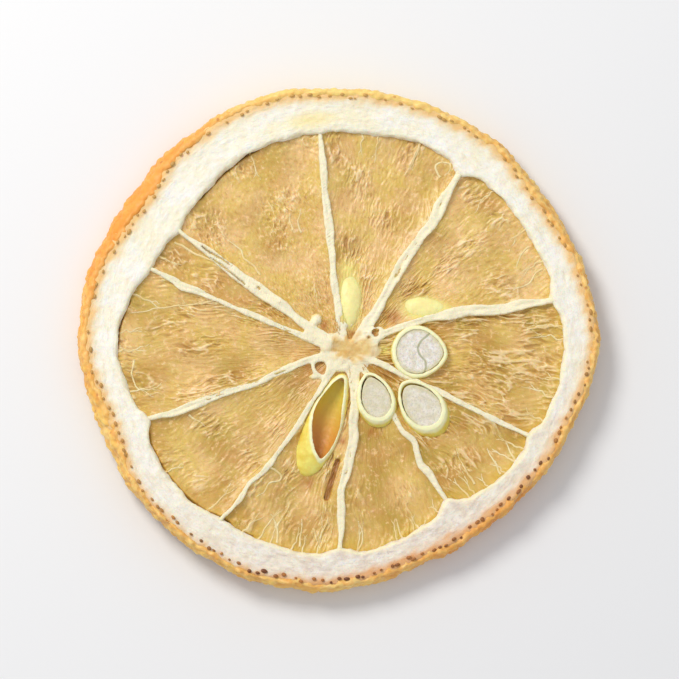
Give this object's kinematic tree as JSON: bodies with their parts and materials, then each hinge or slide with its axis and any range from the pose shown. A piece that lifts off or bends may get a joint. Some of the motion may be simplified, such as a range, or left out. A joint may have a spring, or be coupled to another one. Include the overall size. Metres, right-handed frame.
{
  "type": "dried lemon slice",
  "caption": "Thin dried slice of citrus fruit: a ring of peel and white pith round shrunken pulp segments, thin membranes, a pale core and cut pips.",
  "frame": {"origin": "on the table, under the middle of the slice's outline", "axes": "+Z out of the upper cut face, +Y towards the top of the picture, +X to its right"},
  "size_m": [0.0542, 0.0522, 0.0042],
  "materials": {
    "pith": "matt, dry, white to cream, a little lilac in the shade",
    "pulp": "golden tan, translucent, glossy where the juice sacs have dried smooth",
    "rind": "satin, pebbled orange-yellow with small brown oil glands",
    "pip_hull": "satin cream to pale yellow, thin and woody",
    "pip_kernel": "matt greyish white"
  },
  "bodies": {
    "root": {"lemon_slice": "pith"}
  },
  "joints": []
}
